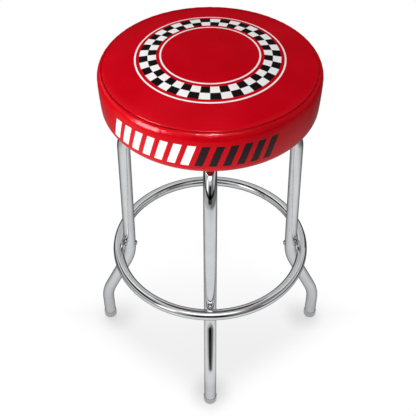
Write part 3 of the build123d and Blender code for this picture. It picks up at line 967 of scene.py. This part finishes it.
    def swell(self, grid: np.ndarray, held: np.ndarray) -> np.ndarray:
        """Blows the skin up as cloth over its foam, held at the seam and under the board.

        Args:
            grid: points by ring and segment.
            held: which rings don't move.

        Returns:
            The points after the simulation.
        """
        mesh = ring_mesh(grid, poles=True)
        piece = put_in_scene("skin", mesh)
        group = piece.vertex_groups.new(name="held")
        ids = np.nonzero(np.repeat(held, self.segments))[0]
        group.add([int(i) for i in ids] + [len(mesh.vertices) - 1], 1.0, "REPLACE")
        cloth = piece.modifiers.new("skin", "CLOTH")
        cloth.settings.vertex_group_mass = group.name
        cloth.settings.use_pressure = True
        cloth.settings.uniform_pressure_force = self.pressure
        cloth.settings.effector_weights.gravity = 0.0
        cloth.settings.bending_stiffness = self.bending
        cloth.collision_settings.use_collision = False
        scene = bpy.context.scene
        for step in range(1, self.frames + 1):
            scene.frame_set(step)
        evaluated = piece.evaluated_get(bpy.context.evaluated_depsgraph_get())
        after = np.empty(len(evaluated.data.vertices) * 3)
        evaluated.data.vertices.foreach_get("co", after)
        after = after.reshape(-1, 3)[:grid.shape[0] * self.segments].reshape(grid.shape)
        bpy.data.objects.remove(piece)
        bpy.data.meshes.remove(mesh)
        scene.frame_set(1)
        move = self.calmed(after - grid)
        size = np.linalg.norm(move, axis=2)
        LOG.info("cloth moved up to %.2f mm, mean %.2f mm", size.max() / MM, size.mean() / MM)
        limit = np.minimum(1.0, self.most_swell / np.maximum(size, self.least_move))
        return grid + move * limit[:, :, None]

    def calmed(self, move: np.ndarray) -> np.ndarray:
        """Keeps the slow swells of the simulated skin and leaves most of its fine creases out.

        Args:
            move: moves by ring and segment, in metres.

        Returns:
            The calmer moves.
        """
        turn = around(self.segments)
        outward = move[:, :, 0] * np.cos(turn) + move[:, :, 1] * np.sin(turn)
        waves = np.arange(self.segments // 2 + 1)
        keep = self.crease + (1 - self.crease) * np.exp(-(waves / self.calm_waves) ** 2)
        flat, lift = (np.fft.irfft(np.fft.rfft(part, axis=1) * keep, self.segments, axis=1)
                      for part in (outward, move[:, :, 2]))
        return np.stack([flat * np.cos(turn), flat * np.sin(turn), lift], 2)

    def closed_top(self, grid: np.ndarray) -> bpy.types.Mesh:
        """Top panel closed across its lip."""
        inner = np.array([[reach, self.lip_end(1)[1]] for reach in self.inner_reaches])
        return ring_mesh(np.concatenate([grid, self.turned(inner, finer=2)]), poles=True)

    def closed_band(self, grid: np.ndarray) -> bpy.types.Mesh:
        """Side band closed along the board and behind its lip.

        Args:
            grid: its points.

        Returns:
            The mesh.
        """
        inner = np.array([[self.flap_reach, self.board_z], [self.board_reach, self.board_z],
                          [self.board_reach, self.band_mid_z], [self.board_reach, self.lip_end(-1)[1] - MM]])
        return ring_mesh(np.concatenate([grid, self.turned(inner, finer=2)]), looped=True)

    def add_panel(self, name: str, mesh: bpy.types.Mesh, finish: Finish, *nodes: str) -> None:
        """Adds a padded piece.

        Args:
            name: the piece's name.
            mesh: its mesh.
            finish: its vinyl.
            nodes: the CAD nodes it stands for.
        """
        piece = add_piece(name, mesh, finish)
        settle_piece(piece, Body.SEAT, finish.name, *nodes)


@dataclass
class SeamStitches:
    """The row of stitches that shows in the seam's groove; its dark red thread is partly painted shade that
    deepens the groove.
    """

    reach: float
    height: float
    count: int = 260
    length: float = 0.0034
    thread: float = 0.0007
    circle_steps: int = 180
    thread_sides: int = 8
    thread_rings: int = 6
    wobble: float = 0.12
    seed: int = 3

    def build(self) -> None:
        """Builds the stitches with Geometry Nodes and makes them a plain mesh."""
        tree = self.tree()
        carrier = put_in_scene("stitch_row", bpy.data.meshes.new("stitch_row"))
        modifier = carrier.modifiers.new("stitches", "NODES")
        modifier.node_group = tree
        values = {"Reach": self.reach, "Height": self.height, "Count": self.count, "Length": self.length,
                  "Thread": self.thread, "Finish": FINISHES.get(Finishes.THREAD_AND_GROOVE_SHADE)}
        for item in tree.interface.items_tree:
            if item.in_out == "INPUT" and item.name in values:
                modifier[item.identifier] = values[item.name]
        graph = bpy.context.evaluated_depsgraph_get()
        mesh = bpy.data.meshes.new_from_object(carrier.evaluated_get(graph))
        carrier.modifiers.remove(modifier)
        bpy.data.objects.remove(carrier)
        piece = add_piece("seam_stitches", mesh, Finishes.THREAD_AND_GROOVE_SHADE)
        settle_piece(piece, Body.SEAT, "red_vinyl_band")

    def tree(self) -> bpy.types.NodeTree:
        """Tree that lays short threads round a circle.

        Returns:
            The tree.
        """
        tree = bpy.data.node_groups.new("Seam stitches", "GeometryNodeTree")
        kinds = {"Reach": "Float", "Height": "Float", "Count": "Int", "Length": "Float", "Thread": "Float",
                 "Finish": "Material"}
        for name, kind in kinds.items():
            tree.interface.new_socket(name=name, in_out="INPUT", socket_type="NodeSocket" + kind)
        tree.interface.new_socket(name="Geometry", in_out="OUTPUT", socket_type="NodeSocketGeometry")
        graph = Graph(tree)
        given = graph.node("NodeGroupInput").outputs
        circle = graph.node("GeometryNodeCurvePrimitiveCircle", {
            "Resolution": self.circle_steps, "Radius": given["Reach"]})
        points = graph.node("GeometryNodeCurveToPoints", {
            "Curve": circle.outputs[0], "Count": given["Count"]}, mode="COUNT")
        ball = graph.node("GeometryNodeMeshUVSphere", {
            "Segments": self.thread_sides, "Rings": self.thread_rings, "Radius": 0.5})
        size = graph.node("ShaderNodeCombineXYZ", {
            "X": given["Thread"], "Y": given["Thread"], "Z": given["Length"]})
        wobble = graph.node("FunctionNodeRandomValue", {
            0: (-self.wobble,) * 3, 1: (self.wobble,) * 3, "Seed": self.seed}, data_type="FLOAT_VECTOR")
        turned = graph.node("FunctionNodeRotateRotation", {
            0: points.outputs["Rotation"], 1: wobble.outputs[0]}, rotation_space="LOCAL")
        laid = graph.node("GeometryNodeInstanceOnPoints", {
            "Points": points.outputs["Points"], "Instance": ball.outputs[0], "Rotation": turned.outputs[0],
            "Scale": size.outputs[0]})
        lift = graph.node("ShaderNodeCombineXYZ", {"Z": given["Height"]})
        lifted = graph.node("GeometryNodeTranslateInstances", {
            "Instances": laid.outputs[0], "Translation": lift.outputs[0], "Local Space": False})
        real = graph.node("GeometryNodeRealizeInstances", {"Geometry": lifted.outputs[0]})
        painted = graph.node("GeometryNodeSetMaterial", {
            "Geometry": real.outputs[0], "Material": given["Finish"]})
        graph.node("NodeGroupOutput", {0: painted.outputs[0]})
        return tree


@dataclass
class DustCover:
    """Black cloth stapled under the board, drawn towards its staples."""

    reach: float = 0.1698
    flap: float = 0.1556
    step: float = 0.004
    hub: float = 0.004
    upper_z: float = 0.6261
    lower_z: float = 0.6249
    thickness: float = 0.0006
    sag: float = 0.0007
    even_sag: float = 0.4
    sag_from: float = 0.105
    sag_fade: float = 0.03
    staples: int = 20
    staple_turn: float = 0.4
    pull_limits: Point = (0.5, 1.0)
    pull_width: int = 5
    middle_rings: int = 34
    step_rings: int = 4
    edge_rings: int = 5
    segments: int = 160
    seed: int = 11

    def build(self) -> None:
        """Adds the cover under the board."""
        piece = add_piece("under_cover", self.mesh(), Finishes.CLOTH)
        wall = piece.modifiers.new("wall", "SOLIDIFY")
        wall.thickness = self.thickness
        wall.offset = -1.0
        settle_piece(piece, Body.SEAT, "black_cloth", "dust_cover")

    def pulls(self) -> np.ndarray:
        """How far the staples draw the cloth round its edge, with a fixed seed.

        Returns:
            A share for each segment.
        """
        draw = np.random.default_rng(self.seed)
        pulls = np.sin(self.staples * around(self.segments) + self.staple_turn)
        pulls = pulls * draw.uniform(*self.pull_limits, self.segments)
        half = self.pull_width // 2
        closed = np.concatenate([pulls[-half:], pulls, pulls[:half]])
        return np.convolve(closed, np.ones(self.pull_width) / self.pull_width, "valid")

    def mesh(self) -> bpy.types.Mesh:
        """Round cloth that steps down over the side band's flap, facing up.

        Returns:
            The mesh.
        """
        start = self.flap - self.step
        reaches = np.concatenate([np.linspace(self.hub, start, self.middle_rings),
                                  np.linspace(start, self.flap, self.step_rings)[1:],
                                  np.linspace(self.flap, self.reach, self.edge_rings)[1:]])
        depth = self.sag * (self.even_sag + (1 - self.even_sag) * self.pulls())
        made = bmesh.new()
        rings = []
        for reach in reaches:
            level = np.interp(reach, [start, self.flap], [self.upper_z, self.lower_z])
            drop = np.maximum(depth * math.sin(math.pi * min(1.0, reach / self.reach)) ** 2, 0.0)
            drop = drop * np.clip((reach - self.sag_from) / self.sag_fade, 0.0, 1.0)
            rings.append([made.verts.new((reach * math.cos(t), reach * math.sin(t), level - d))
                          for t, d in zip(around(self.segments), drop)])
        for inner, outer in zip(rings, rings[1:]):
            for at in range(self.segments):
                after = (at + 1) % self.segments
                made.faces.new((inner[at], inner[after], outer[after], outer[at]))
        made.faces.new(rings[0][::-1])
        bmesh.ops.recalc_face_normals(made, faces=made.faces)
        mesh = plain_mesh("cover", made)
        if sum(p.normal.z for p in mesh.polygons) < 0:
            mesh.flip_normals()
        return mesh


@dataclass
class TubeFrame:
    """Legs, foot ring, foot caps and their screws."""

    corners: Tuple[Point, ...] = ((0.024, 0.59395), (0.1672, 0.59395), (0.176, 0.215), (0.2375, 0.087),
                                  (0.2375, 0.005))
    bends: Tuple[float, ...] = (0.075943, 0.125, 0.105)
    leg_radius: float = 0.0127
    wall: float = 0.0015
    ring_reach: float = 0.199212
    ring_z: float = 0.246942
    ring_radius: float = 0.0111
    sharp: float = math.radians(50.0)
    segments: int = 56
    bend_steps: int = 32
    ring_steps: int = 400

    def build(self) -> None:
        """Builds the chrome tubes and dresses what is on them."""
        for side in Side:
            name = side.name.lower()
            self.add_tube(f"tube_{name}", self.leg_mesh(side), f"leg_{name}")
            dress(f"glide_{name}", Finishes.CAP)
        self.add_tube("tube_ring", self.hoop_mesh(), "foot_ring")
        dress("ring_screws", Finishes.CHROME_SCREW)
        dress("ring_rivet_nuts", Finishes.ZINC)

    def add_tube(self, name: str, mesh: bpy.types.Mesh, node: str) -> None:
        """Adds a chrome tube for a CAD tube.

        Args:
            name: the piece's name.
            mesh: its mesh.
            node: the CAD node.
        """
        piece = add_piece(name, mesh, Finishes.CHROME_TUBE)
        mesh.set_sharp_from_angle(angle=self.sharp)
        settle_piece(piece, Body.FRAME, "chrome_tube", node)

    def axis(self) -> np.ndarray:
        """Axis of a leg, from its inner end to its foot.

        Returns:
            Points along it (reach, height, lean).
        """
        rows = [(*self.corners[0], 0.0)]
        lean = 0.0
        for before, corner, after, bend in zip(self.corners, self.corners[1:], self.corners[2:], self.bends):
            lean = math.atan2(corner[1] - before[1], corner[0] - before[0])
            next_lean = math.atan2(after[1] - corner[1], after[0] - corner[0])
            cut = bend * math.tan(abs(next_lean - lean) / 2)
            start = (corner[0] - cut * math.cos(lean), corner[1] - cut * math.sin(lean))
            end = (corner[0] + cut * math.cos(next_lean), corner[1] + cut * math.sin(next_lean))
            rows.append((*start, lean))
            leans = np.linspace(lean, next_lean, self.bend_steps + 1)[1:]
            rows += [(*point, at) for point, at in zip(arc(start, end, lean, self.bend_steps), leans)]
            lean = next_lean
        rows.append((*self.corners[-1], lean))
        return np.array(rows)

    def leg_mesh(self, side: Side) -> bpy.types.Mesh:
        """Bent tube with its wall and open ends.

        Args:
            side: which leg.

        Returns:
            The mesh.
        """
        axis = self.axis()
        turn = around(self.segments)
        cos, sin = math.cos(math.radians(side.value)), math.sin(math.radians(side.value))
        walls = []
        for radius in (self.leg_radius, self.leg_radius - self.wall):
            reach = axis[:, :1] - radius * np.sin(axis[:, 2:]) * np.cos(turn)
            height = axis[:, 1:2] + radius * np.cos(axis[:, 2:]) * np.cos(turn)
            across = np.broadcast_to(radius * np.sin(turn), reach.shape)
            walls.append(np.stack([reach * cos - across * sin, reach * sin + across * cos, height], 2))
        return ring_mesh(np.concatenate([walls[0], walls[1][::-1]]), looped=True)

    def hoop_mesh(self) -> bpy.types.Mesh:
        """Closed tube of the foot ring.

        Returns:
            The mesh.
        """
        turn = around(self.segments)
        section = np.stack([self.ring_reach + self.ring_radius * np.cos(turn),
                            self.ring_z + self.ring_radius * np.sin(turn)], 1)
        return ring_mesh(spun(section, around(self.ring_steps)).swapaxes(0, 1), looped=True)


@dataclass
class Swivel:
    """The bearing plates, the ball cage and the hardware about them."""

    zinc: Tuple[str, ...] = ("frame_bolts", "frame_washers", "frame_nuts", "swivel_lower_plate",
                             "swivel_upper_plate", "pivot_rivet", "seat_screws", "tee_nuts")

    def build(self) -> None:
        """Dresses the swivel."""
        for node in self.zinc:
            dress(node, Finishes.ZINC)
        dress("pivot_washer", Finishes.NYLON)
        dress("bearing_balls", Finishes.BALL)
        dress("ball_retainer", Finishes.BRASS)
        dress("seat_board", Finishes.PLYWOOD)
        dress("cover_staples", Finishes.WIRE)


@dataclass
class Floor:
    """Pale floor that keeps the shadow and fades to white away from the stool.

    Limits are metres on the floor, or width over depth in near_aside. The tones at the two limits follow
    them where they aren't 0 and 1.
    """

    reach: float = 4.0
    sides: int = 96
    rough: float = 0.9
    seen: float = 0.96
    front: float = 0.82
    back: float = 0.24
    deep: float = 0.03
    glow: float = 0.75
    back_limits: Limits = (-0.35, 0.45)
    near_limits: Limits = (-0.7, -1.8)
    near_aside: Limits = (1.1, 0.25)
    far_limits: Limits = (0.62, 1.1)
    far_back: Limits = (-0.1, 0.4, 0.0, 0.9)
    far_right: Limits = (-0.2, 0.3, 0.4, 0.78)
    foot_reach: float = 0.22
    stretch: Point = (0.85, 1.1)
    under: Limits = (0.2, 0.33, 0.23, 0.0)
    at_feet: Limits = (0.0, 0.065, 0.36, 0.0)
    behind: Limits = (-0.1, 0.22, 1.0, 0.1)

    def build(self) -> None:
        """Adds the floor, which the camera, metal and soft light each see in their own way."""
        made = bmesh.new()
        bmesh.ops.create_circle(made, cap_ends=True, segments=self.sides, radius=self.reach)
        mesh = plain_mesh("floor", made)
        material = bpy.data.materials.new("studio_floor")
        material.use_nodes = True
        graph = Graph(material.node_tree)
        shader = material.node_tree.nodes["Principled BSDF"]
        shader.inputs["Roughness"].default_value = self.rough
        shader.inputs["Specular IOR Level"].default_value = 0.0
        path = graph.node("ShaderNodeLightPath").outputs
        axes = graph.axes(graph.place())
        paper = self.paper(graph, axes)
        camera = path["Is Camera Ray"]
        graph.put(shader.inputs["Base Color"], graph.mix(camera, paper, grey(self.seen)))
        fade = graph.product(graph.math("SUBTRACT", 1.0, self.shade(graph, axes)), camera)
        fade = graph.scaled(graph.mirrored(path), self.glow, fade)
        lit = graph.mix(camera, paper, grey(1.0))
        glow = graph.node("ShaderNodeEmission", {"Color": lit, "Strength": 1.0})
        mixed = graph.node("ShaderNodeMixShader", {0: fade, 1: shader.outputs[0], 2: glow.outputs[0]})
        below = graph.node("ShaderNodeNewGeometry").outputs["Backfacing"]
        clear = graph.node("ShaderNodeBsdfTransparent")
        mixed = graph.node("ShaderNodeMixShader", {0: below, 1: mixed.outputs[0], 2: clear.outputs[0]})
        graph.put(material.node_tree.nodes["Material Output"].inputs[0], mixed.outputs[0])
        mesh.materials.append(material)
        put_in_scene("floor", mesh)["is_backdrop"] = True

    def paper(self, graph: Graph, axes: Outputs) -> Socket:
        """Colour that metal shows: pale in front, and dark behind and far away.

        Args:
            graph: the floor's graph.
            axes: coordinates on the floor.

        Returns:
            The colour.
        """
        paper = graph.mix(graph.ramp(axes["Y"], *self.back_limits), grey(self.front), grey(self.back))
        aside = graph.math("ABSOLUTE", graph.math("DIVIDE", axes["X"], axes["Y"]))
        near = graph.product(graph.ramp(axes["Y"], *self.near_limits), graph.ramp(aside, *self.near_aside))
        away = graph.node("ShaderNodeVectorMath", {0: graph.place()}, operation="LENGTH").outputs["Value"]
        depth = graph.math("MAXIMUM", graph.ramp(axes["Y"], *self.far_back),
                           graph.ramp(axes["X"], *self.far_right))
        dark = graph.math("MAXIMUM", near, graph.ramp(away, *self.far_limits, 0.0, depth))
        return graph.mix(dark, paper, grey(self.deep))

    def shade(self, graph: Graph, axes: Outputs) -> Socket:
        """How much of the floor's own shading shows: soft under the stool and deeper at its feet.

        Args:
            graph: the floor's graph.
            axes: coordinates on the floor.

        Returns:
            The share, from 0 to 1.
        """
        across, along = (graph.math("ABSOLUTE", axes[name]) for name in ("X", "Y"))
        spread = graph.scaled(along, self.stretch[1], graph.product(across, self.stretch[0]))
        offset = graph.math("SUBTRACT", graph.math("MAXIMUM", across, along), self.foot_reach)
        gap = graph.length(offset, graph.math("MINIMUM", across, along))
        shade = graph.math("ADD", graph.ramp(spread, *self.under), graph.ramp(gap, *self.at_feet))
        return graph.product(shade, graph.ramp(axes["Y"], *self.behind))


Edge = Tuple[str, float, float]
AHEAD: Edge = ("Y", 0.0, -0.2)


@dataclass(frozen=True)
class Patch:
    """An area of the room that metal shows brighter or darker.

    Its light is added to the room, or if negative is the share taken away. Each edge names a part of the
    direction, where the patch starts on it and where it is whole.
    """

    light: float
    edges: Tuple[Edge, ...]


@dataclass
class Room:
    """White to the camera, soft grey as light, and a studio with dark and bright sides in reflections."""

    behind: Tuple[Edge, ...] = (("Y", -0.1, 0.2), ("aside", 0.8, 0.5))
    behind_light: float = 0.05
    sides: Limits = (0.1, 0.7, 0.56, 0.16)
    fill: float = 0.45
    patches: Tuple[Patch, ...] = (
        # Dark wall ahead, with a bright ceiling panel over it.
        Patch(-0.97, (AHEAD, ("aside", 0.6, 0.2), ("Z", 0.52, 0.4))),
        Patch(1.1, (AHEAD, ("aside", 0.75, 0.4), ("Z", 0.57, 0.67), ("Z", 0.93, 0.83))),
        # Dark panel on the left, and the dark line where the walls meet the floor.
        Patch(-0.95, (("X", -0.48, -0.62), ("Z", 0.4, 0.5), ("Z", 0.86, 0.76))),
        Patch(-0.95, (("Z", 0.14, 0.0),)),
        # Bright upright strip on the left.
        Patch(1.1, (("turn", -0.86, -0.76), ("turn", -0.54, -0.64), ("Y", -0.2, -0.3), ("Z", 0.08, 0.16),
                    ("Z", 0.7, 0.55))))

    def build(self) -> None:
        """Builds the world."""
        world = bpy.data.worlds.new("studio")
        bpy.context.scene.world = world
        world.use_nodes = True
        graph = Graph(world.node_tree)
        path = graph.node("ShaderNodeLightPath").outputs
        strength = graph.ramp(graph.mirrored(path), 0.0, 1.0, self.fill, self.shown(graph))
        strength = graph.ramp(path["Is Camera Ray"], 0.0, 1.0, strength, 1.0)
        shader = world.node_tree.nodes["Background"]
        shader.inputs["Color"].default_value = grey(1.0)
        graph.put(shader.inputs["Strength"], strength)

    def shown(self, graph: Graph) -> Socket:
        """What metal shows of the room.

        Args:
            graph: the world's graph.

        Returns:
            The light by direction.
        """
        axes = graph.axes(graph.node("ShaderNodeTexCoord").outputs["Generated"])
        turn = graph.math("DIVIDE", axes["X"], graph.length(axes["X"], axes["Y"]))
        parts = {name: axes[name] for name in ("X", "Y", "Z")}
        parts.update(turn=turn, aside=graph.math("ABSOLUTE", turn))
        behind = self.area(graph, parts, self.behind)
        room = graph.product(graph.ramp(axes["X"], *self.sides),
                             graph.ramp(behind, 0.0, 1.0, 1.0, self.behind_light))
        for patch in self.patches:
            mask = self.area(graph, parts, patch.edges)
            if patch.light > 0:
                room = graph.scaled(mask, patch.light, room)
            else:
                room = graph.product(room, graph.scaled(mask, patch.light, 1.0))
        return room

    def area(self, graph: Graph, parts: Dict[str, Socket], edges: Sequence[Edge]) -> Socket:
        """1 inside all the edges of an area, and 0 outside any of them."""
        return graph.product(*(graph.ramp(parts[name], start, whole) for name, start, whole in edges))


class Use(Enum):
    """What a lamp gives, by the rays that don't see it."""

    LIGHT = "visible_glossy"
    GLINT = "visible_diffuse"


class Lit(Enum):
    """The pieces that a lamp lights, with none named for everything."""

    ALL = ()
    CUSHION = ("cushion_top", "cushion_band", "seam_stitches")
    TUBES = ("tube_ring", *(f"tube_{side.name.lower()}" for side in Side))


@dataclass(frozen=True)
class Lamp:
    """A soft lamp, with its size in metres, its power in watts and its beam in degrees."""

    name: str
    lit: Lit
    use: Use
    at: Place
    aim: Place
    size: Point
    power: float
    spread: float = 180.0

    def build(self) -> bpy.types.Object:
        """Adds the lamp.

        Returns:
            Its object.
        """
        lamp = bpy.data.lights.new(self.name, "AREA")
        lamp.shape = "RECTANGLE"
        lamp.size, lamp.size_y = self.size
        lamp.energy = self.power
        lamp.spread = math.radians(self.spread)
        stand = put_in_scene(self.name, lamp)
        stand.location = self.at
        stand.rotation_euler = (Vector(self.aim) - Vector(self.at)).to_track_quat("-Z", "Y").to_euler()
        setattr(stand, self.use.value, False)
        return stand


@dataclass
class Studio:
    """Floor, surroundings, lamps and camera."""

    lamps: Tuple[Lamp, ...] = (
        Lamp("top", Lit.ALL, Use.LIGHT, (-0.25, 0.65, 2.3), (0.0, 0.0, 0.4), (0.9, 0.9), 13.5),
        Lamp("side", Lit.CUSHION, Use.LIGHT, (-1.36, -0.9, 0.85), (0.0, 0.0, 0.6), (0.7, 0.45), 27.0),
        Lamp("front", Lit.CUSHION, Use.LIGHT, (0.03, -1.45, 1.38), (0.03, -0.2, 0.5), (0.24, 0.15), 0.2,
             21.0),
        Lamp("right", Lit.CUSHION, Use.LIGHT, (1.5, -0.3, 0.9), (0.0, 0.0, 0.65), (1.0, 1.0), 5.0),
        Lamp("side_glint", Lit.CUSHION, Use.GLINT, (-1.36, -0.9, 1.07), (0.0, 0.0, 0.6), (0.7, 0.9), 52.0),
        Lamp("front_glint", Lit.CUSHION, Use.GLINT, (0.01, -1.2, 2.0), (0.01, -0.2, 0.71), (0.12, 0.4), 0.3,
             16.0),
        Lamp("back_wall", Lit.TUBES, Use.GLINT, (0.0, 2.6, 2.75), (0.0, 0.0, 0.3), (7.0, 5.4), 59.0),
        Lamp("right_wall", Lit.TUBES, Use.GLINT, (3.3, 0.0, 1.4), (0.0, 0.0, 0.25), (5.0, 1.8), 10.0))
    camera_at: Place = (0.0, -1.2216, 1.5443)
    camera_dip: float = 0.773
    focal_pixels: float = 815.07
    sensor: float = 36.0
    axis_offset: float = 2.2

    def build(self) -> None:
        """Sets up the whole studio."""
        bpy.context.scene.view_settings.view_transform = "Standard"
        Floor().build()
        Room().build()
        for lit in Lit:
            stands = [lamp.build() for lamp in self.lamps if lamp.lit is lit]
            if lit.value:
                self.light_only(lit, stands)
        self.add_camera()

    def light_only(self, lit: Lit, stands: Sequence[bpy.types.Object]) -> None:
        """Keeps lamps to some pieces.

        Args:
            lit: the pieces they light.
            stands: the lamps.
        """
        pieces = bpy.data.collections.new(lit.name.lower())
        for name in lit.value:
            pieces.objects.link(bpy.data.objects[name])
        for stand in stands:
            stand.light_linking.receiver_collection = pieces

    def add_camera(self) -> None:
        """Adds the camera at the photograph's angle."""
        lens = bpy.data.cameras.new("camera")
        lens.sensor_width = self.sensor
        lens.lens = self.focal_pixels / PHOTO_WIDTH * self.sensor
        lens.shift_x = -self.axis_offset / PHOTO_WIDTH
        camera = put_in_scene("camera", lens)
        camera.location = self.camera_at
        camera.rotation_euler = (math.pi / 2 - self.camera_dip, 0.0, 0.0)
        bpy.context.scene.camera = camera


def write_sizes() -> None:
    """Makes a table of the CAD box and the dressed box, which is not kept."""
    boxes = {"cad": CAD_BOX, "visual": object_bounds()}
    {name: [list(corner) for corner in box] for name, box in boxes.items()}


def main() -> None:
    """Builds the sub-assemblies in order."""
    logging.basicConfig(level=logging.INFO, format="%(message)s")
    for assembly in (TubeFrame(), Swivel(), Cushion(), Studio()):
        LOG.info("building %s", type(assembly).__name__)
        assembly.build()
    write_sizes()


if __name__ == "__main__":
    main()
